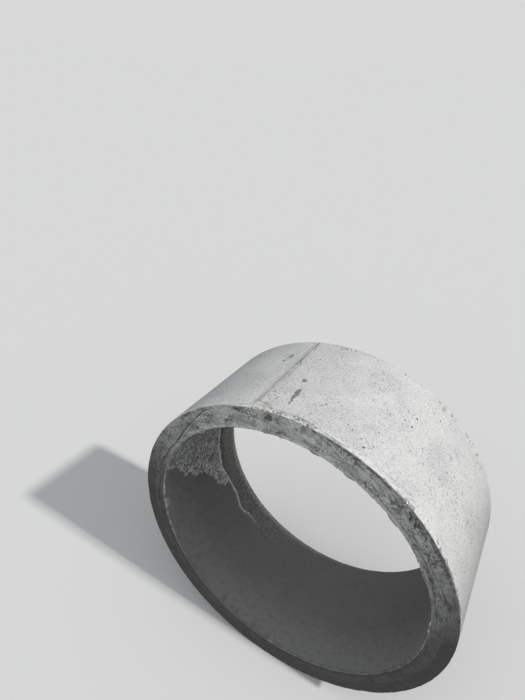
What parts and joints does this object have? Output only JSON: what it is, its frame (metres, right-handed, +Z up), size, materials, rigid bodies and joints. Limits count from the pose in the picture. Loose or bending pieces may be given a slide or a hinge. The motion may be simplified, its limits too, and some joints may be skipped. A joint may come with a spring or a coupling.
{
  "type": "concrete culvert pipe",
  "caption": "Short, wide plain concrete culvert pipe with a thick wall, an open bore and flat butt ends, lying on its side.",
  "frame": {"origin": "on the bore's axis, halfway along the pipe", "axes": "+Y along the bore, from the chipped near end that the camera sees to the far end; +Z up, with the pipe lying on its barrel"},
  "size_m": [1.16, 0.48, 1.1598],
  "materials": {
    "concrete": "cast grey concrete, smooth and pored off the steel mould on the barrel, rough and darker on the trowelled end and in part of the bore"
  },
  "bodies": {
    "root": {"concrete_pipe": "concrete"}
  },
  "joints": []
}
